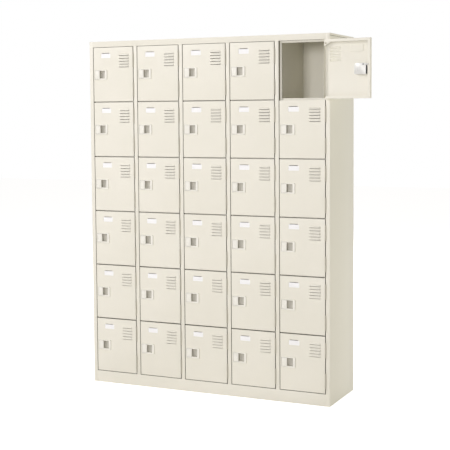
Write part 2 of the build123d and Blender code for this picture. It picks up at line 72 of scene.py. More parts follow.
ahead = Vector((
    -math.sin(CAMERA_YAW) * math.cos(CAMERA_PITCH),
    math.cos(CAMERA_YAW) * math.cos(CAMERA_PITCH),
    -math.sin(CAMERA_PITCH),
))
level = Vector((math.cos(CAMERA_YAW), math.sin(CAMERA_YAW), 0))
above = level.cross(ahead)
right_hand = level * math.cos(CAMERA_ROLL) + above * math.sin(CAMERA_ROLL)
upward = above * math.cos(CAMERA_ROLL) - level * math.sin(CAMERA_ROLL)
turned = Matrix((right_hand, upward, -ahead)).transposed()
bpy.ops.object.camera_add(location=CAMERA_PLACE, rotation=turned.to_euler())
camera = bpy.context.object
camera.data.lens = CAMERA_LENS
camera.data.sensor_width = CAMERA_SENSOR
camera.data.shift_y = CAMERA_SHIFT
bpy.context.scene.camera = camera
print("camera turned to", [round(math.degrees(angle), 2) for angle in turned.to_euler()])

# %% [markdown]
# ## Floor, sky and lamps
#
# The cabinet stands in an even white studio. The floor and the sky look white to the camera
# because they glow softly for camera rays alone, so no extra light falls on the paint. The glow
# also hides the cabinet's own shadow on the floor. The main lamp hangs high on the left and draws
# the small shadows under hoods and handles, a weaker one in front reaches into the open
# compartment, a warmer one on the right keeps the side wall tan, and one behind lights the back.

# %% Seen by the camera only
def seen_directly(nodes, links):
    """A factor that is 1 for camera, mirror and glass rays, and 0 for the light on surfaces."""
    rays = nodes.new("ShaderNodeLightPath")
    either = nodes.new("ShaderNodeMath")
    either.operation = "MAXIMUM"
    links.new(rays.outputs["Is Camera Ray"], either.inputs[0])
    links.new(rays.outputs["Is Glossy Ray"], either.inputs[1])
    through = nodes.new("ShaderNodeMath")
    through.operation = "MAXIMUM"
    links.new(either.outputs[0], through.inputs[0])
    links.new(rays.outputs["Is Transmission Ray"], through.inputs[1])
    return through.outputs[0]


# %% Paint the sky
SKY_LIGHT = 0.22
SKY_COLOUR = (1, 0.975, 0.95, 1)
WHITE = (1, 1, 1, 1)
sky = bpy.data.worlds.new("studio_sky")
sky.use_nodes = True
bpy.context.scene.world = sky
sky_nodes, sky_links = sky.node_tree.nodes, sky.node_tree.links
sky_nodes.clear()
sky_end = sky_nodes.new("ShaderNodeOutputWorld")
sky_mix = sky_nodes.new("ShaderNodeMixShader")
sky_soft = sky_nodes.new("ShaderNodeBackground")
sky_soft.inputs["Color"].default_value = SKY_COLOUR
sky_soft.inputs["Strength"].default_value = SKY_LIGHT
sky_white = sky_nodes.new("ShaderNodeBackground")
sky_white.inputs["Color"].default_value = WHITE
sky_links.new(seen_directly(sky_nodes, sky_links), sky_mix.inputs["Fac"])
sky_links.new(sky_soft.outputs[0], sky_mix.inputs[1])
sky_links.new(sky_white.outputs[0], sky_mix.inputs[2])
sky_links.new(sky_mix.outputs[0], sky_end.inputs["Surface"])
print("sky light on surfaces", SKY_LIGHT)

# %% Lay the floor
FLOOR_SIZE = 30
FLOOR_GLOW = 0.8
FLOOR_COLOUR = (0.86, 0.85, 0.83, 1)
bpy.ops.object.select_all(action="DESELECT")
bpy.ops.mesh.primitive_plane_add(size=FLOOR_SIZE, location=(0, 0, 0))
floor = bpy.context.object
floor.name = "studio_floor"
floor_finish = bpy.data.materials.new("studio_floor")
floor_finish.use_nodes = True
floor_nodes, floor_links = floor_finish.node_tree.nodes, floor_finish.node_tree.links
floor_nodes.clear()
floor_end = floor_nodes.new("ShaderNodeOutputMaterial")
floor_paint = floor_nodes.new("ShaderNodeBsdfDiffuse")
floor_paint.inputs["Color"].default_value = FLOOR_COLOUR
floor_glow = floor_nodes.new("ShaderNodeEmission")
floor_glow.inputs["Strength"].default_value = FLOOR_GLOW
floor_sum = floor_nodes.new("ShaderNodeAddShader")
floor_mix = floor_nodes.new("ShaderNodeMixShader")
floor_links.new(floor_paint.outputs[0], floor_sum.inputs[0])
floor_links.new(floor_glow.outputs[0], floor_sum.inputs[1])
floor_links.new(seen_directly(floor_nodes, floor_links), floor_mix.inputs["Fac"])
floor_links.new(floor_paint.outputs[0], floor_mix.inputs[1])
floor_links.new(floor_sum.outputs[0], floor_mix.inputs[2])
floor_links.new(floor_mix.outputs[0], floor_end.inputs["Surface"])
floor.data.materials.append(floor_finish)
print("floor", FLOOR_SIZE, "m square")


# %% Hang the lamps
def soft_lamp(name, place, target, size, power, colour):
    """A square soft box that faces a point."""
    facing = (Vector(target) - Vector(place)).to_track_quat("-Z", "Y").to_euler()
    bpy.ops.object.light_add(type="AREA", location=place, rotation=facing)
    lamp = bpy.context.object
    lamp.name = name
    lamp.data.size = size
    lamp.data.energy = power
    lamp.data.color = colour
    return lamp


PLAIN_LIGHT = (1, 0.975, 0.99)
WARM_LIGHT = (1, 0.965, 0.84)
BACK_LIGHT = (1, 0.975, 0.96)
soft_lamp(
    "key_lamp", (-3.4, -4.6, 4.3), target=(0, 0, 1.0), size=1.6, power=150, colour=PLAIN_LIGHT,
)
soft_lamp(
    "front_lamp", (0.5, -6.2, 2.0), target=(0, 0, 1.2), size=1.2, power=120, colour=PLAIN_LIGHT,
)
soft_lamp(
    "side_lamp", (5.0, 1.2, 2.4), target=(0.66, 0, 0.9), size=2.2, power=78, colour=WARM_LIGHT,
)
soft_lamp(
    "back_lamp", (-2.6, 5.4, 3.4), target=(0, 0, 1.0), size=2.5, power=150, colour=BACK_LIGHT,
)

# %% [markdown]
# ## Finishes
#
# The cabinet is powder coated: a thick ivory skin with a faint orange-peel texture, baked on, so
# no brush marks and only slight clouds of tone. The handles are satin plastic in the same ivory,
# the latch parts are zinc plated, and the card is paper. Image maps could hold all this, but
# noise on the object's own coordinates has the right scale on every piece and no seams. Sizes
# are in metres: the clouds of tone are large, the grain about a millimetre across.

# %% Colours as the eye names them
def ink(red, green, blue):
    """A colour given in screen values of 0 to 255, turned into light values."""
    def light(value):
        share = value / 255
        return share / 12.92 if share <= 0.04045 else ((share + 0.055) / 1.055) ** 2.4
    return (light(red), light(green), light(blue), 1)


# %% A clouded, slightly rough surface
CLOUD_DETAIL = 4
GRAIN_DETAIL = 2
TONE_EDGES = (0.3, 0.7)
SHEEN_DRIFT = 0.06
RELIEF_STRENGTH = 0.5


def surface(name, pale, deep, cloud_size, grain_size, grain_depth, rough, metal=0.0):
    """A finish that drifts between two close tones and has a fine grain in its bump."""
    finish = bpy.data.materials.new(name)
    finish.use_nodes = True
    nodes, links = finish.node_tree.nodes, finish.node_tree.links
    shader = nodes["Principled BSDF"]
    shader.inputs["Metallic"].default_value = metal
    spot = nodes.new("ShaderNodeTexCoord")
    cloud = nodes.new("ShaderNodeTexNoise")
    cloud.inputs["Scale"].default_value = 1 / cloud_size
    cloud.inputs["Detail"].default_value = CLOUD_DETAIL
    tone = nodes.new("ShaderNodeValToRGB")
    tone.color_ramp.elements[0].position = TONE_EDGES[0]
    tone.color_ramp.elements[0].color = deep
    tone.color_ramp.elements[1].position = TONE_EDGES[1]
    tone.color_ramp.elements[1].color = pale
    grain = nodes.new("ShaderNodeTexNoise")
    grain.inputs["Scale"].default_value = 1 / grain_size
    grain.inputs["Detail"].default_value = GRAIN_DETAIL
    sheen = nodes.new("ShaderNodeMapRange")
    sheen.inputs["To Min"].default_value = rough - SHEEN_DRIFT
    sheen.inputs["To Max"].default_value = rough + SHEEN_DRIFT
    relief = nodes.new("ShaderNodeBump")
    relief.inputs["Distance"].default_value = grain_depth
    relief.inputs["Strength"].default_value = RELIEF_STRENGTH
    links.new(spot.outputs["Object"], cloud.inputs["Vector"])
    links.new(spot.outputs["Object"], grain.inputs["Vector"])
    links.new(cloud.outputs["Fac"], tone.inputs["Fac"])
    links.new(tone.outputs["Color"], shader.inputs["Base Color"])
    links.new(cloud.outputs["Fac"], sheen.inputs["Value"])
    links.new(sheen.outputs["Result"], shader.inputs["Roughness"])
    links.new(grain.outputs["Fac"], relief.inputs["Height"])
    links.new(relief.outputs["Normal"], shader.inputs["Normal"])
    return finish


ivory_paint = surface(
    "ivory_powder_coat", ink(239, 236, 223), ink(235, 232, 218),
    cloud_size=0.35, grain_size=0.0012, grain_depth=0.00006, rough=0.42,
)
ivory_plastic = surface(
    "ivory_moulding", ink(246, 244, 235), ink(242, 240, 229),
    cloud_size=0.02, grain_size=0.0006, grain_depth=0.00002, rough=0.33,
)
zinc_plate = surface(
    "zinc_plating", ink(212, 211, 206), ink(194, 194, 190),
    cloud_size=0.006, grain_size=0.0008, grain_depth=0.00003, rough=0.4, metal=0.35,
)
# Painted shade: a darker tone for the inside of the finger cup.
cup_painted_shade = surface(
    "shaded_moulding", ink(206, 203, 192), ink(196, 193, 182),
    cloud_size=0.02, grain_size=0.0006, grain_depth=0.00002, rough=0.5,
)
# Painted shade: the hinges are ivory like the cabinet; this darker tone stands for their shadow.
hinge_painted_shade = surface(
    "hinge_coating", ink(198, 194, 180), ink(186, 182, 168),
    cloud_size=0.05, grain_size=0.0008, grain_depth=0.00004, rough=0.45,
)
# Painted shade: a darker tone for the faces in the gaps round the doors.
rebate_coat = surface(
    "rebate_coat", ink(144, 140, 124), ink(134, 130, 114),
    cloud_size=0.05, grain_size=0.0012, grain_depth=0.00006, rough=0.5,
)
# Painted shadow: a dark tone for the strip under the roof's rims.
seam_filler = surface(
    "seam_filler", ink(140, 137, 124), ink(126, 123, 110),
    cloud_size=0.05, grain_size=0.001, grain_depth=0.00004, rough=0.7,
)
# Painted shadow: black for the dark slot and gap at the latch.
black_painted_shadow = surface(
    "black_moulding", ink(34, 34, 34), ink(24, 24, 24),
    cloud_size=0.01, grain_size=0.0006, grain_depth=0.00003, rough=0.5,
)
card_white = surface(
    "card_paper", ink(255, 255, 255), ink(250, 250, 250),
    cloud_size=0.004, grain_size=0.0004, grain_depth=0.00002, rough=0.8,
)
print("finishes", len(bpy.data.materials))

# %% [markdown]
# ## Working by hand on a mesh
#
# Every new piece starts as a block or a rod at its place and is then shaped in edit mode. These
# helpers do what the mouse would do: pick faces, edges or corners by where they are, then cut.
# A door is drawn once, in its own place on its hinge axis, and its measures are read the way a
# fitter reads them: across from the opening's left edge, in from the front, down from the top.

# %% Start clean and pick by place
AXIS_FROM_LEFT = 238.5
AXIS_PROUD = 3.0
ROW_PITCH = 283.5


def only(piece):
    """Leaves object mode as it should be: this one piece selected and active."""
    if bpy.context.mode != "OBJECT":
        bpy.ops.object.mode_set(mode="OBJECT")
    bpy.ops.object.select_all(action="DESELECT")
    piece.hide_set(False)
    piece.select_set(True)
    bpy.context.view_layer.objects.active = piece
    return piece


def spot_on_door(point):
    """Across, in and down, in millimetres, of a point on a door."""
    return (point.x / MM + AXIS_FROM_LEFT, point.y / MM - AXIS_PROUD, ROW_PITCH - point.z / MM)


def pick(piece, kind, wanted):
    """Selects the faces, edges or corners whose middle and element pass a test."""
    if bpy.context.mode != "EDIT_MESH":
        only(piece)
        bpy.ops.object.mode_set(mode="EDIT")
    bpy.ops.mesh.select_mode(type=kind)
    bpy.ops.mesh.select_all(action="DESELECT")
    drawing = bmesh.from_edit_mesh(piece.data)
    if kind == "FACE":
        spots = [(face, face.calc_center_median()) for face in drawing.faces]
    elif kind == "EDGE":
        spots = [(edge, (edge.verts[0].co + edge.verts[1].co) / 2) for edge in drawing.edges]
    else:
        spots = [(corner, corner.co) for corner in drawing.verts]
    chosen = [item for item, middle in spots if wanted(*spot_on_door(middle), item)]
    for item in chosen:
        item.select_set(True)
    bmesh.update_edit_mesh(piece.data)
    return len(chosen)


HAIR = 0.05


def near(a, b):
    """True where two measures agree within a hair, in millimetres."""
    return abs(a - b) < HAIR


def runs_in(edge):
    """True where an edge runs from front to back."""
    return near(edge.verts[0].co.x / MM, edge.verts[1].co.x / MM) and near(
        edge.verts[0].co.z / MM, edge.verts[1].co.z / MM
    )


# %% Blocks and rods at their place
ROD_SIDES = 28


def block_on_door(name, across, inward, down):
    """A block between pairs of measures on a door."""
    if bpy.context.mode != "OBJECT":
        bpy.ops.object.mode_set(mode="OBJECT")
    bpy.ops.object.select_all(action="DESELECT")
    middle = (
        (sum(across) / 2 - AXIS_FROM_LEFT) * MM,
        (sum(inward) / 2 + AXIS_PROUD) * MM,
        (ROW_PITCH - sum(down) / 2) * MM,
    )
    bpy.ops.mesh.primitive_cube_add(size=1, location=middle)
    piece = bpy.context.object
    piece.name = name
    piece.scale = [(high - low) * MM for low, high in (across, inward, down)]
    bpy.ops.object.transform_apply(location=True, rotation=True, scale=True)
    return piece


def rod(name, radius, length, middle, turn=(0, 0, 0)):
    """A rod of a radius and length about its middle, in metres."""
    if bpy.context.mode != "OBJECT":
        bpy.ops.object.mode_set(mode="OBJECT")
    bpy.ops.object.select_all(action="DESELECT")
    bpy.ops.mesh.primitive_cylinder_add(
        vertices=ROD_SIDES, radius=radius, depth=length, location=middle, rotation=turn,
    )
    piece = bpy.context.object
    piece.name = name
    bpy.ops.object.transform_apply(location=True, rotation=True, scale=True)
    return piece


def joined(first, *others):
    """One piece made of several closed shells."""
    only(first)
    for other in others:
        other.select_set(True)
    bpy.ops.object.join()
    return first


def taken_out(piece, tool):
    """Cuts the shape of a tool out of a piece, and takes the tool away."""
    only(piece)
    hole = piece.modifiers.new("hole", "BOOLEAN")
    hole.operation = "DIFFERENCE"
    hole.solver = "EXACT"
    hole.object = tool
    bpy.ops.object.modifier_apply(modifier=hole.name)
    bpy.data.objects.remove(tool)


# %% Cut a flat face along a line
def cut(piece, chosen, across=None, down=None):
    """Cuts the chosen faces along one line, upright at an across or level at a down."""
    pick(piece, "FACE", chosen)
    if across is not None:
        place, facing = ((across - AXIS_FROM_LEFT) * MM, 0, 0), (1, 0, 0)
    else:
        place, facing = (0, 0, (ROW_PITCH - down) * MM), (0, 0, 1)
    bpy.ops.mesh.bisect(plane_co=place, plane_no=facing)


STRAIGHT = 0.99


def faces_front(face):
    """True for a face that looks straight out of the door."""
    return face.normal.y < -STRAIGHT


def faces_back(face):
    """True for a face that looks straight into the cabinet."""
    return face.normal.y > STRAIGHT


SMOOTH_UP_TO = 35


def finished(piece, finish, angle=SMOOTH_UP_TO):
    """Gives a piece its finish, and smooth shading where it turns by less than an angle."""
    only(piece)
    piece.data.materials.clear()
    piece.data.materials.append(finish)
    bpy.ops.object.shade_smooth_by_angle(angle=math.radians(angle))
    return piece


# %% [markdown]
# ## The cabinet's sheets
#
# The walls, roof, plinth, shelves and mullions are folded from steel 0.8 mm thick. Their shapes
# are already exact, so each is taken over from the measured model, cleaned of its triangles and
# given the small round that a press brake and the coating leave along every edge. Building them
# anew from blocks would only repeat the same measures.

# %% Take over a folded sheet
EDGE_ROUND = 0.35 * MM
MERGE_WITHIN = 0.01 * MM
FLAT_WITHIN = math.radians(1)
SHARP_FROM = math.radians(30)


def folded(node, finish, body):
    """A sheet of the measured model with its edges rounded."""
    piece = bpy.data.objects.new(node + "_sheet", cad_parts[node].data.copy())
    bpy.context.collection.objects.link(piece)
    only(piece)
    bpy.ops.object.mode_set(mode="EDIT")
    bpy.ops.mesh.select_all(action="SELECT")
    bpy.ops.mesh.remove_doubles(threshold=MERGE_WITHIN)
    bpy.ops.mesh.dissolve_limited(angle_limit=FLAT_WITHIN)
    bpy.ops.object.mode_set(mode="OBJECT")
    rounding = piece.modifiers.new("edge_round", "BEVEL")
    rounding.width = EDGE_ROUND
    rounding.segments = 2
    rounding.limit_method = "ANGLE"
    rounding.angle_limit = SHARP_FROM
    rounding.use_clamp_overlap = True
    bpy.ops.object.modifier_apply(modifier=rounding.name)
    finished(piece, finish)
    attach(piece, body)
    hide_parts(node)
    return piece


ROWS = 6
COLUMNS = 5
cabinet_nodes = [
    "side_panel_left", "side_panel_right", "top_panel", "back_panel", "plinth", "bottom_deck",
    "base_bearer", "front_mullions",
]
cabinet_nodes += [f"partition_{index}" for index in range(1, COLUMNS)]
cabinet_nodes += [f"shelves_column_{column}" for column in range(1, COLUMNS + 1)]
sheets = [folded(node, ivory_paint, "carcass") for node in cabinet_nodes]
print("sheets", len(sheets), "faces", sum(len(sheet.data.polygons) for sheet in sheets))

# %% [markdown]
# The returns in the narrow rebate round each door are given a darker paint, which is painted
# shade for the shadow in these gaps, so that they read as crisp lines. The faces are found by
# their place: they stand square to the front, between the front plane and the door stops.
# their place: they stand square to the front, between the front plane and the door stops.

# %% Paint shade into the rebates
SQUARE_ON = 0.1


def paint_rebate_shade(sheet, start, end):
    """Gives painted shade to the faces between two depths that stand square to the front."""
    sheet.data.materials.append(rebate_coat)
    shaded_faces = [
        face for face in sheet.data.polygons
        if start < face.center.y < end and abs(face.normal.y) < SQUARE_ON
    ]
    for face in shaded_faces:
        face.material_index = 1
    return len(shaded_faces)


rebate_start, rebate_end = (corner.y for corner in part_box("front_mullions"))
framing = ("front_mullions", "side_panel", "top_panel", "plinth")
for sheet in sheets:
    if sheet.name.startswith(framing):
        print(sheet.name, "dull faces", paint_rebate_shade(sheet, rebate_start, rebate_end))

# %% [markdown]
# The roof laps over the side walls, so a narrow rim shows along each side, with a dark line
# under it. Both are strips laid on the wall's outer face, because that is all that can be seen of
# the lap from outside; the dark strip is painted shadow under the rim.

# %% Turn down the roof's rims
RIM_DROP = 10 * MM
RIM_SHEET = 0.8 * MM
RIM_ROUND = RIM_SHEET / 3
SHADOW_STRIP_DROP = 1.8 * MM


def roof_rim(name, side, start, drop, finish):
    """A narrow strip under the roof's edge along one side wall: -1 is left, 1 is right."""
    low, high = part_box("top_panel")
    outer = high.x if side > 0 else low.x
    bpy.ops.object.select_all(action="DESELECT")
    middle = (outer + side * RIM_SHEET / 2, 0, high.z - start - drop / 2)
    bpy.ops.mesh.primitive_cube_add(size=1, location=middle)
    rim = bpy.context.object
    rim.name = name
    rim.scale = (RIM_SHEET, high.y - low.y, drop)
    bpy.ops.object.transform_apply(location=True, rotation=True, scale=True)
    bpy.ops.object.mode_set(mode="EDIT")
    bpy.ops.mesh.select_all(action="SELECT")
    bpy.ops.mesh.bevel(offset=RIM_ROUND, segments=2)
    bpy.ops.object.mode_set(mode="OBJECT")
    finished(rim, finish)
    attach(rim, "carcass")
    return rim


rims = [
    roof_rim("roof_rim_left", -1, 0, RIM_DROP, ivory_paint),
    roof_rim("roof_rim_right", 1, 0, RIM_DROP, ivory_paint),
    # The dark strips under the rims are painted shadow.
    roof_rim("roof_seam_left", -1, RIM_DROP, SHADOW_STRIP_DROP, seam_filler),
    roof_rim("roof_seam_right", 1, RIM_DROP, SHADOW_STRIP_DROP, seam_filler),
]
print("rims", [rim.name for rim in rims])

# %% [markdown]
# ## A door's skin
#
# Each door is one pressed sheet: its edges fold back into a shallow pan, flanged on three sides,
# a window is punched for the card and a hole for the handle, and five louvres are pierced and
# pressed outwards. Here a block becomes the outside of the pan, its back is opened, and the
# handle's hole and the louvres are cut in that thin skin. It gets its thickness after them, so the
# louvres are real slots that show the dark behind. The card's window comes last.

# %% Fold the pan
PAN_ACROSS = (3.1, 236.0)
PAN_DOWN = (2.2, 280.6)
PAN_DEPTH = 18
PAN_FLANGE = 13
SHEET = 0.8
FOLD_ROUND = 0.9

skin = block_on_door("door_skin", PAN_ACROSS, (0, PAN_DEPTH), PAN_DOWN)
pick(skin, "EDGE", lambda across, inward, down, edge: True)
bpy.ops.mesh.bevel(offset=FOLD_ROUND * MM, segments=3)
pick(skin, "FACE", lambda across, inward, down, face: faces_back(face) and near(inward, PAN_DEPTH))
bpy.ops.mesh.inset(thickness=(PAN_FLANGE - FOLD_ROUND) * MM, depth=0)
bpy.ops.mesh.delete(type="FACE")
pick(skin, "FACE", lambda across, inward, down, face: (
    faces_back(face) and near(inward, PAN_DEPTH) and across > PAN_ACROSS[1] - PAN_FLANGE
))
bpy.ops.mesh.delete(type="FACE")
print("pan faces", len(bmesh.from_edit_mesh(skin.data).faces))

# %% Cut the handle hole
HOLE_ACROSS = (11.3, 73.5)
HOLE_DOWN = (119.5, 165)
DIVIDE = 120


def left_front(low, high):
    """Front faces left of the dividing line, between two levels."""
    return lambda across, inward, down, face: (
        faces_front(face) and near(inward, 0) and across < DIVIDE and low < down < high
    )


cut(skin, lambda across, inward, down, face: faces_front(face) and near(inward, 0), across=DIVIDE)
for line in HOLE_DOWN:
    cut(skin, left_front(0, ROW_PITCH), down=line)
for line in HOLE_ACROSS:
    cut(skin, left_front(*HOLE_DOWN), across=line)
pick(skin, "FACE", lambda across, inward, down, face: (
    faces_front(face) and near(inward, 0)
    and HOLE_ACROSS[0] < across < HOLE_ACROSS[1] and HOLE_DOWN[0] < down < HOLE_DOWN[1]
))
bpy.ops.mesh.delete(type="FACE")
print("handle hole", HOLE_ACROSS, HOLE_DOWN)

# %% [markdown]
# A louvre is a narrow slot in the sheet with the metal above it pushed out into a hood. The slot
# comes first, then the hood is drawn out row by row, so that its crown is round and its ends run
# back into the sheet. A separate strip laid on the door would have no slot under it.

# %% Press the louvres
LOUVRE_ACROSS = (156, 213)
LOUVRE_FIRST = 45.5
LOUVRE_PITCH = 14.75
LOUVRE_COUNT = 5
LOUVRE_MOUTHS = [LOUVRE_FIRST + LOUVRE_PITCH * index for index in range(LOUVRE_COUNT)]
LOUVRE_PROUD = 3.6
SLOT_HALF = 1.3
HOOD_LEVELS = ((9.0, 0.0), (7.8, 0.42), (6.0, 0.78), (3.8, 0.95), (SLOT_HALF, 1.0))
HOOD_ENDS = ((0.0, 0.0), (1.6, 0.55), (4.2, 1.0))


def louvre_band(across, inward, down, face):
    """Front faces in the strip that holds the louvres."""
    return faces_front(face) and near(inward, 0) and LOUVRE_ACROSS[0] < across < LOUVRE_ACROSS[1]


def in_hood(down):
    """True where a level falls on one of the hoods."""
    return any(mouth - HOOD_LEVELS[0][0] < down < mouth for mouth in LOUVRE_MOUTHS)


for line in LOUVRE_ACROSS:
    cut(skin, lambda across, inward, down, face: (
        faces_front(face) and near(inward, 0) and across > DIVIDE
    ), across=line)
for mouth in LOUVRE_MOUTHS:
    for rise in [level for level, _ in HOOD_LEVELS] + [-SLOT_HALF]:
        cut(skin, louvre_band, down=mouth - rise)
slots = pick(skin, "FACE", lambda across, inward, down, face: (
    louvre_band(across, inward, down, face) and any(near(down, mouth) for mouth in LOUVRE_MOUTHS)
))
bpy.ops.mesh.delete(type="FACE")
for reach, _ in HOOD_ENDS[1:]:
    for line in (LOUVRE_ACROSS[0] + reach, LOUVRE_ACROSS[1] - reach):
        cut(skin, lambda across, inward, down, face: (
            louvre_band(across, inward, down, face) and in_hood(down)
        ), across=line)
for rise, out in HOOD_LEVELS[1:]:
    for reach, share in HOOD_ENDS[1:]:
        columns = (LOUVRE_ACROSS[0] + reach, LOUVRE_ACROSS[1] - reach)
        pick(skin, "VERT", lambda across, inward, down, corner, rise=rise, columns=columns: (
            near(inward, 0) and any(near(across, line) for line in columns)
            and any(near(down, mouth - rise) for mouth in LOUVRE_MOUTHS)
        ))
        bpy.ops.transform.translate(value=(0, -LOUVRE_PROUD * out * share * MM, 0))
print("louvre slots", slots)

# %% Give the sheet its thickness
only(skin)
wall = skin.modifiers.new("wall", "SOLIDIFY")
wall.thickness = SHEET * MM
wall.offset = -1
wall.use_even_offset = True
bpy.ops.object.modifier_apply(modifier=wall.name)
print("skin faces", len(skin.data.polygons))

# %% [markdown]
# The window for the name card has round corners, and a narrow slot above it lets the card in
# from the front. A press punches both in one blow. Here a punch of the hole's shape is subtracted
# from the finished sheet, which keeps the corners round right through its thickness.

# %% Punch the card window
CARD_ACROSS = (49, 104)
CARD_DOWN = (33, 56.5)
CARD_CORNER = 3.5
FEED_ACROSS = (54, 98)
FEED_DOWN = (30.6, 33.5)
FEED_CORNER = 0.8
PUNCH_REACH = (-2, 4)
SKIN_SMOOTH_UP_TO = 20


def punch(piece, across, down, corner):
    """Punches a hole with round corners through the sheet, and takes the punch away."""
    tool = block_on_door("punch", across, PUNCH_REACH, down)
    pick(tool, "EDGE", lambda across, inward, down, edge: runs_in(edge))
    bpy.ops.mesh.bevel(offset=corner * MM, segments=4)
    taken_out(piece, tool)


punch(skin, CARD_ACROSS, CARD_DOWN, CARD_CORNER)
punch(skin, FEED_ACROSS, FEED_DOWN, FEED_CORNER)
finished(skin, ivory_paint, SKIN_SMOOTH_UP_TO)
print("skin faces after punching", len(skin.data.polygons))
# The doors' own edge flanges get the same painted shade.
flange_start, flange_end = (AXIS_PROUD + FOLD_ROUND) * MM, (AXIS_PROUD + PAN_DEPTH) * MM
print("dull faces", paint_rebate_shade(skin, flange_start, flange_end))

# %% [markdown]
# ## The handle
#
# The handle is one ivory moulding: a bezel with rounded corners, a deep cup for the fingers on
# its right and a shallow seat on its left, where the pull lever lies over an opening. It is cut
# from a block the way the mould would be: seat and cup are sunk together, the cup is sunk again,
# and the lever's opening goes right through.

# %% Mould the bezel
BEZEL_ACROSS = (10, 83)
BEZEL_DOWN = (117, 168)
BEZEL_PROUD = 4.5
BEZEL_CORNER = 4
BEZEL_RIM = 1.2
CUP_ACROSS = (41, 72)
CUP_DOWN = (121, 161)
CUP_DEPTH = 13
CUP_WALL = 1.5
CUP_ROUND = 1.4
WELL_ACROSS = (11.3, 39.5)
WELL_DOWN = (120, 165)
SEAT_DEPTH = 2.2

bezel = block_on_door("handle_bezel", BEZEL_ACROSS, (-BEZEL_PROUD, 0), BEZEL_DOWN)
pick(bezel, "EDGE", lambda across, inward, down, edge: runs_in(edge))
bpy.ops.mesh.bevel(offset=BEZEL_CORNER * MM, segments=5)
pick(bezel, "EDGE", lambda across, inward, down, edge: near(inward, -BEZEL_PROUD))
bpy.ops.mesh.bevel(offset=BEZEL_RIM * MM, segments=3)


def bezel_front(across, inward, down, face):
    """The flat front of the bezel."""
    return faces_front(face) and near(inward, -BEZEL_PROUD)


def sink(depth):
    """Extrudes the selected faces inwards."""
    bpy.ops.mesh.extrude_region_move(TRANSFORM_OT_translate={"value": (0, depth * MM, 0)})


for line in (WELL_ACROSS[0], WELL_ACROSS[1], *CUP_ACROSS):
    cut(bezel, bezel_front, across=line)
for line in CUP_DOWN:
    cut(bezel, lambda across, inward, down, face: (
        bezel_front(across, inward, down, face) and CUP_ACROSS[0] < across < CUP_ACROSS[1]
    ), down=line)
for line in WELL_DOWN:
    cut(bezel, lambda across, inward, down, face: (
        bezel_front(across, inward, down, face) and WELL_ACROSS[0] < across < CUP_ACROSS[0]
    ), down=line)
pick(bezel, "FACE", lambda across, inward, down, face: bezel_front(across, inward, down, face) and (
    (WELL_ACROSS[0] < across < CUP_ACROSS[0] and WELL_DOWN[0] < down < WELL_DOWN[1])
    or (CUP_ACROSS[0] < across < CUP_ACROSS[1] and CUP_DOWN[0] < down < CUP_DOWN[1])
))
sink(SEAT_DEPTH)
print("bezel faces", len(bmesh.from_edit_mesh(bezel.data).faces))

# %% Sink the finger cup and open the well
SEAT_LEVEL = SEAT_DEPTH - BEZEL_PROUD
BELOW_SEAT = 1


def at_seat(across, inward, down, face):
    """Faces on the floor of the shallow seat."""
    return faces_front(face) and near(inward, SEAT_LEVEL)


def over_cup(across, down):
    """True within the cup's outline, its edges included."""
    return (
        CUP_ACROSS[0] - HAIR < across < CUP_ACROSS[1] + HAIR
        and CUP_DOWN[0] - HAIR < down < CUP_DOWN[1] + HAIR
    )


back_sides = (CUP_ACROSS[0] - CUP_WALL, CUP_ACROSS[1] + CUP_WALL)
back_levels = (CUP_DOWN[0] - CUP_WALL, CUP_DOWN[1] + CUP_WALL)
for line in (WELL_ACROSS[0], *back_sides):
    cut(bezel, lambda across, inward, down, face: faces_back(face) and near(inward, 0), across=line)
for line in back_levels:
    cut(bezel, lambda across, inward, down, face: (
        faces_back(face) and near(inward, 0) and back_sides[0] < across < back_sides[1]
    ), down=line)
for line in WELL_DOWN:
    cut(bezel, lambda across, inward, down, face: (
        faces_back(face) and near(inward, 0) and WELL_ACROSS[0] < across < back_sides[0]
    ), down=line)
pick(bezel, "FACE", lambda across, inward, down, face: (
    faces_back(face) and near(inward, 0)
    and back_sides[0] < across < back_sides[1] and back_levels[0] < down < back_levels[1]
))
sink(CUP_DEPTH + CUP_WALL)
pick(bezel, "FACE", lambda across, inward, down, face: (
    at_seat(across, inward, down, face) and across > CUP_ACROSS[0]
))
sink(CUP_DEPTH - SEAT_LEVEL)
pick(bezel, "FACE", lambda across, inward, down, face: (
    WELL_ACROSS[0] < across < WELL_ACROSS[1] and WELL_DOWN[0] < down < WELL_DOWN[1]
    and (at_seat(across, inward, down, face) or (faces_back(face) and near(inward, 0)))
))
bpy.ops.mesh.bridge_edge_loops()
pick(bezel, "EDGE", lambda across, inward, down, edge: (
    over_cup(across, down) and SEAT_LEVEL + BELOW_SEAT < inward < CUP_DEPTH + HAIR
    and (near(inward, CUP_DEPTH) or runs_in(edge))
    and not near(inward, 0)
))
bpy.ops.mesh.bevel(offset=CUP_ROUND * MM, segments=3)
finished(bezel, ivory_plastic)
# The cup's inside faces take the darker finish, as painted shade.
bezel.data.materials.append(cup_painted_shade)
pick(bezel, "FACE", lambda across, inward, down, face: (
    over_cup(across, down) and SEAT_LEVEL < inward < CUP_DEPTH + HAIR and not faces_back(face)
))
bezel.active_material_index = 1
bpy.ops.object.material_slot_assign()
only(bezel)
print("handle faces", len(bezel.data.polygons))

# %% [markdown]
# The pull lever is a thin plate that covers the well, hung on an upright pin at its left. Its
# face carries the round face of a lock. The plate's corners and rim are rounded, and the round
# face is a short rod, inset and sunk so that it has a raised rim, as a turned lock face has.

# %% Mould the lever
LEVER_ACROSS = (13, 40.5)
LEVER_DOWN = (121, 164)
LEVER_FACE = -5.3
LEVER_BACK = -3.1
LEVER_CORNER = 2.5
LEVER_RIM = 0.7
LOCK_ACROSS = 27
LOCK_DOWN = 142.5
LOCK_RADIUS = 10.5
LOCK_PROUD = 0.7
LOCK_SUNK = 0.5
LOCK_STEPS = ((1.2, 0), (0.3, -0.45), (5.2, 0), (0.2, -0.2))
LYING_IN = (math.radians(90), 0, 0)

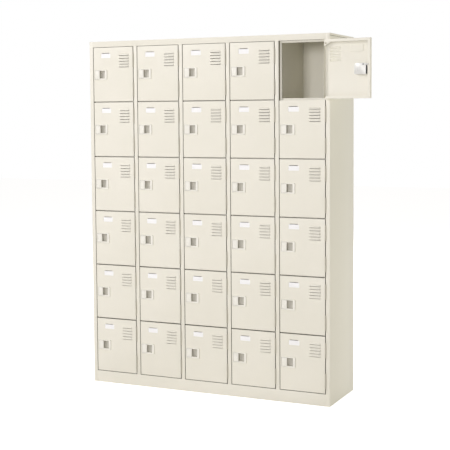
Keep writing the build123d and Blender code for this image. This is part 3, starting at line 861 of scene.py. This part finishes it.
plate = block_on_door("lever_plate", LEVER_ACROSS, (LEVER_FACE, LEVER_BACK), LEVER_DOWN)
pick(plate, "EDGE", lambda across, inward, down, edge: runs_in(edge))
bpy.ops.mesh.bevel(offset=LEVER_CORNER * MM, segments=4)
pick(plate, "EDGE", lambda across, inward, down, edge: near(inward, LEVER_FACE))
bpy.ops.mesh.bevel(offset=LEVER_RIM * MM, segments=3)
lock_middle = (
    (LOCK_ACROSS - AXIS_FROM_LEFT) * MM,
    (LEVER_FACE - LOCK_PROUD / 2 + LOCK_SUNK / 2 + AXIS_PROUD) * MM,
    (ROW_PITCH - LOCK_DOWN) * MM,
)
lock = rod("lock_face", LOCK_RADIUS * MM, (LOCK_PROUD + LOCK_SUNK) * MM, lock_middle, LYING_IN)
pick(lock, "FACE", lambda across, inward, down, face: faces_front(face))
for width, rise in LOCK_STEPS:
    bpy.ops.mesh.inset(thickness=width * MM, depth=rise * MM)
lever = finished(joined(plate, lock), ivory_plastic)
print("lever faces", len(lever.data.polygons))

# %% [markdown]
# ## The name card
#
# A blank white card lies against the back of the sheet and shows through the window. It is wider
# than the window, but its top edge stops at the feed slot, so that the slot stays dark.

# %% Cut the card
CARD_MARGIN = 3
CARD_TOP_EDGE = 33.2
CARD_IN = (SHEET, 1.4)
CARD_TRIM = 1.5

card = block_on_door(
    "name_card", (CARD_ACROSS[0] - CARD_MARGIN, CARD_ACROSS[1] + CARD_MARGIN), CARD_IN,
    (CARD_TOP_EDGE, CARD_DOWN[1] + CARD_MARGIN),
)
pick(card, "EDGE", lambda across, inward, down, edge: runs_in(edge))
bpy.ops.mesh.bevel(offset=CARD_TRIM * MM, segments=3)
finished(card, card_white)
print("card faces", len(card.data.polygons))

# %% [markdown]
# ## The hinges
#
# Each door hangs on two lift-off hinges, barrels 75 mm long that stand upright in the gap at its
# right edge. The upper half of a barrel and its leaf belong to the door, the lower half to the
# cabinet. One half is made from a rod with rounded ends and a thin leaf, and then copied.

# %% Turn one half of a hinge
BARREL_RADIUS = 2.9
BARREL_HALF = 37.5
LEAF_REACH = 16.0
HINGE_CENTRES = (69.0, 219.5)
HALVES_APART = 0.3
BARREL_ROUND = 0.5
LEAF_ROUND = 0.3
DOOR_LEAF = (-1.5, -0.5)
FRAME_LEAF = (0.5, 1.5)


def hinge_half(name, leaf_across, low):
    """Half a barrel with its leaf, from a height above the row's bottom line."""
    middle = (0, 0, (low + BARREL_HALF / 2) * MM)
    barrel = rod(name, BARREL_RADIUS * MM, (BARREL_HALF - HALVES_APART) * MM, middle)
    pick(barrel, "EDGE", lambda across, inward, down, edge: near(
        edge.verts[0].co.z / MM, edge.verts[1].co.z / MM
    ))
    bpy.ops.mesh.bevel(offset=BARREL_ROUND * MM, segments=3)
    leaf = block_on_door(
        name + "_leaf", [AXIS_FROM_LEFT + side for side in leaf_across], (-AXIS_PROUD, LEAF_REACH),
        (ROW_PITCH - low - BARREL_HALF + HALVES_APART / 2, ROW_PITCH - low - HALVES_APART / 2),
    )
    pick(leaf, "EDGE", lambda across, inward, down, edge: near(inward, LEAF_REACH))
    bpy.ops.mesh.bevel(offset=LEAF_ROUND * MM, segments=2)
    return joined(barrel, leaf)


feet = [ROW_PITCH - centre - BARREL_HALF for centre in HINGE_CENTRES]
door_hinges = joined(*[hinge_half("door_hinges", DOOR_LEAF, foot + BARREL_HALF) for foot in feet])
frame_hinges = joined(*[hinge_half("frame_hinges", FRAME_LEAF, foot) for foot in feet])
# The barrels' darker tone is painted shade.
finished(door_hinges, hinge_painted_shade)
finished(frame_hinges, hinge_painted_shade)
print("hinge faces", len(door_hinges.data.polygons), len(frame_hinges.data.polygons))

# %% [markdown]
# ## Hang the doors
#
# The finished pieces are copied to all thirty openings, each copy with its own mesh, and tied to
# the door that moves it. The top right door is the same piece turned 175 degrees on its hinges.

# %% Copy a piece to a door's place
OPEN_DOOR = (1, 5)
OPEN_TURN = math.radians(175)
FRONT_Y = -180.0
COLUMN_PITCH = 260.0
FIRST_OPENING = -640.0
PLINTH_HEIGHT = 60.0


def door_place(row, column, turn):
    """Where a door's hinge axis stands, and how far the door is turned on it."""
    across = FIRST_OPENING + COLUMN_PITCH * (column - 1) + AXIS_FROM_LEFT
    spot = Vector((across, FRONT_Y - AXIS_PROUD, PLINTH_HEIGHT + (ROWS - row) * ROW_PITCH)) * MM
    return Matrix.Translation(spot) @ Matrix.Rotation(turn, 4, "Z")


def hang(model, name, row, column, turn, body, slot, *nodes):
    """A copy of a door piece with its own mesh, in its place on its body."""
    copy = bpy.data.objects.new(name, model.data.copy())
    bpy.context.collection.objects.link(copy)
    copy.data.transform(door_place(row, column, turn))
    if body:
        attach(copy, body)
    if nodes:
        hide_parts(*nodes)
    return copy


# %% Hang all thirty
# Each row holds a model, its name, its material slot, and the open door's body and node.
door_pieces = (
    (skin, "skin", "ivory_paint", "open_door", "open_door_pan"),
    (bezel, "handle", "ivory_plastic", "open_door", "handle_housing"),
    (lever, "lever", "ivory_plastic", "lever", "pull_lever"),
    (card, "card", "card_white", "open_door", "name_card"),
    (door_hinges, "hinges", "ivory_paint", "open_door", "open_door_hinge_leaves"),
)
frame_halves = []
for row in range(1, ROWS + 1):
    for column in range(1, COLUMNS + 1):
        tag = f"row{row}_column{column}"
        frame_halves.append(
            hang(frame_hinges, f"frame_hinges_{tag}", row, column, 0, None, "ivory_paint")
        )
        for model, name, slot, open_body, open_node in door_pieces:
            if (row, column) == OPEN_DOOR:
                hang(model, f"open_door_{name}", row, column, OPEN_TURN, open_body, slot, open_node)
            else:
                body, node = f"door_{row}_{column}", f"door_{tag}"
                hang(model, f"{name}_{tag}", row, column, 0, body, slot, node)
# The open door's edge flanges keep the plain ivory, without the painted shade.
bpy.data.objects["open_door_skin"].data.materials[1] = ivory_paint
cabinet_hinges = joined(*frame_halves)
cabinet_hinges.name = "cabinet_hinges"
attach(cabinet_hinges, "carcass")
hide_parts("frame_hinge_leaves")
for model in (skin, bezel, lever, card, door_hinges, frame_hinges):
    bpy.data.objects.remove(model)

# %% [markdown]
# ## The back of the open door
#
# The open door shows the back of the card's holder, a gusset in the corner, and a plated latch
# case with its hook and screw. The holder, the gusset and the latch's trim are modelled here on
# the door's own measures, and the helper below fixes each of them to the open door. The latch
# itself is taken over from the measured model at the end, because its fits matter to its motion.

# %% Fix a piece to the open door
def fix_on_open_door(model, name, slot, *nodes):
    """Hangs the only copy of a piece on the open door, and takes the model away."""
    hang(model, name, *OPEN_DOOR, OPEN_TURN, "open_door", slot, *nodes)
    bpy.data.objects.remove(model)


# %% [markdown]
# The card's holder is a shallow folded tray behind the window. Its back is closed, with a step
# pressed in just inside the rim. A block is inset twice on its back, the second time inwards, as
# the press would sink the middle of the sheet.

# %% Fold the card's holder
HOLDER_ACROSS = (43, 110)
HOLDER_DOWN = (29, 63)
HOLDER_BACK = 3.0
HOLDER_ROUND = 0.5
HOLDER_RIM = 2.5
STEP_WIDTH = 0.6
STEP_SUNK = 0.5

holder = block_on_door("card_holder", HOLDER_ACROSS, (CARD_IN[1], HOLDER_BACK), HOLDER_DOWN)
pick(holder, "EDGE", lambda across, inward, down, edge: near(inward, HOLDER_BACK))
bpy.ops.mesh.bevel(offset=HOLDER_ROUND * MM, segments=3)
pick(holder, "FACE", lambda across, inward, down, face: (
    faces_back(face) and near(inward, HOLDER_BACK)
))
bpy.ops.mesh.inset(thickness=HOLDER_RIM * MM, depth=0)
bpy.ops.mesh.inset(thickness=STEP_WIDTH * MM, depth=-STEP_SUNK * MM)
finished(holder, ivory_paint)
print("holder faces", len(holder.data.polygons))
fix_on_open_door(holder, "open_door_card_holder", "ivory_paint", "card_pocket")

# %% [markdown]
# The gusset is a flat triangle with a round eye, in the pan's top corner beside the hinges, where
# it stiffens the fold. A thin block is cut along its long side by a plane, and the eye is drilled
# by subtracting a rod, since both are plain cuts through a flat sheet.

# %% Cut the corner gusset
GUSSET_ACROSS = (196, 235.5)
GUSSET_DOWN = (2.8, 36)
GUSSET_IN = (16.2, 17.0)
EYE_ACROSS = 226
EYE_DOWN = 21
EYE_RADIUS = 4
EYE_LENGTH = 6

gusset = block_on_door("corner_gusset", GUSSET_ACROSS, GUSSET_IN, GUSSET_DOWN)
slope = Vector((GUSSET_DOWN[1] - PAN_FLANGE, 0, GUSSET_ACROSS[1] - GUSSET_ACROSS[0])).normalized()
pick(gusset, "FACE", lambda across, inward, down, face: True)
bpy.ops.mesh.bisect(
    plane_co=((GUSSET_ACROSS[0] - AXIS_FROM_LEFT) * MM, 0, (ROW_PITCH - PAN_FLANGE) * MM),
    plane_no=slope, use_fill=True, clear_inner=True,
)
only(gusset)
eye_middle = (
    (EYE_ACROSS - AXIS_FROM_LEFT) * MM,
    (GUSSET_IN[0] + AXIS_PROUD) * MM,
    (ROW_PITCH - EYE_DOWN) * MM,
)
taken_out(gusset, rod("gusset_eye", EYE_RADIUS * MM, EYE_LENGTH * MM, eye_middle, LYING_IN))
finished(gusset, ivory_paint)
print("gusset faces", len(gusset.data.polygons))
fix_on_open_door(gusset, "open_door_gusset", "ivory_paint", "corner_gusset")

# %% [markdown]
# The plated case sits on a flat foot with two round corners, and black shows beside it: painted
# shadow in the hook's slot and in a narrow gap at the side. Each is a thin block whose outer
# corners or edges are rounded.

# %% Give the latch case its foot flange
FOOT_ACROSS = (75.5, 89)
FOOT_IN = (SHEET, 1.7)
FOOT_DOWN = (120, 168)
FOOT_CORNER = 4

foot = block_on_door("latch_case_foot", FOOT_ACROSS, FOOT_IN, FOOT_DOWN)
pick(foot, "EDGE", lambda across, inward, down, edge: (
    runs_in(edge) and near(across, FOOT_ACROSS[1])
))
bpy.ops.mesh.bevel(offset=FOOT_CORNER * MM, segments=4)
finished(foot, zinc_plate)
print("foot faces", len(foot.data.polygons))
fix_on_open_door(foot, "latch_case_foot", "zinc_plate", "latch_case")

# %% Set the latch's black painted shadows
SLOT_SHADOW_ACROSS = (33.6, 40.6)
SLOT_SHADOW_IN = (15.2, 16.6)
SLOT_SHADOW_DOWN = (120.8, 127.8)
SLOT_SHADOW_CORNER = 0.8
GAP_SHADOW_ACROSS = (22.6, 24.1)
GAP_SHADOW_IN = (4, 17.4)
GAP_SHADOW_DOWN = (128, 167)
GAP_SHADOW_ROUND = 0.5

slot_shadow = block_on_door("latch_guide", SLOT_SHADOW_ACROSS, SLOT_SHADOW_IN, SLOT_SHADOW_DOWN)
pick(slot_shadow, "EDGE", lambda across, inward, down, edge: runs_in(edge))
bpy.ops.mesh.bevel(offset=SLOT_SHADOW_CORNER * MM, segments=3)
gap_shadow = block_on_door("latch_cheek", GAP_SHADOW_ACROSS, GAP_SHADOW_IN, GAP_SHADOW_DOWN)
pick(gap_shadow, "EDGE", lambda across, inward, down, edge: near(across, GAP_SHADOW_ACROSS[0]))
bpy.ops.mesh.bevel(offset=GAP_SHADOW_ROUND * MM, segments=3)
# Both blocks are black painted shadow.
latch_shadows = finished(joined(slot_shadow, gap_shadow), black_painted_shadow)
print("guide faces", len(latch_shadows.data.polygons))
fix_on_open_door(latch_shadows, "latch_guides", "ivory_plastic")

# %% [markdown]
# The latch case, its hook and screw, the lever's pin and the two hinge pins keep the measured
# shapes, like the cabinet's sheets, so the same helper takes them over and rounds their edges.

# %% Dress the latch and the fittings
fittings = [
    folded("latch_case", zinc_plate, "open_door"),
    folded("latch_hook", zinc_plate, "hook"),
    folded("latch_screw", zinc_plate, "open_door"),
    folded("lever_pin", zinc_plate, "open_door"),
    folded("hinge_pins", zinc_plate, "carcass"),
]
print("fittings", len(fittings))

# %% [markdown]
# ## The two sizes
# The last step sets the standard view transform. Both boxes are written down, so that
# anyone can compare them, and the last line checks that every piece has its place.

# %% Set the view transform
view = bpy.context.scene.view_settings
view.view_transform = "Standard"
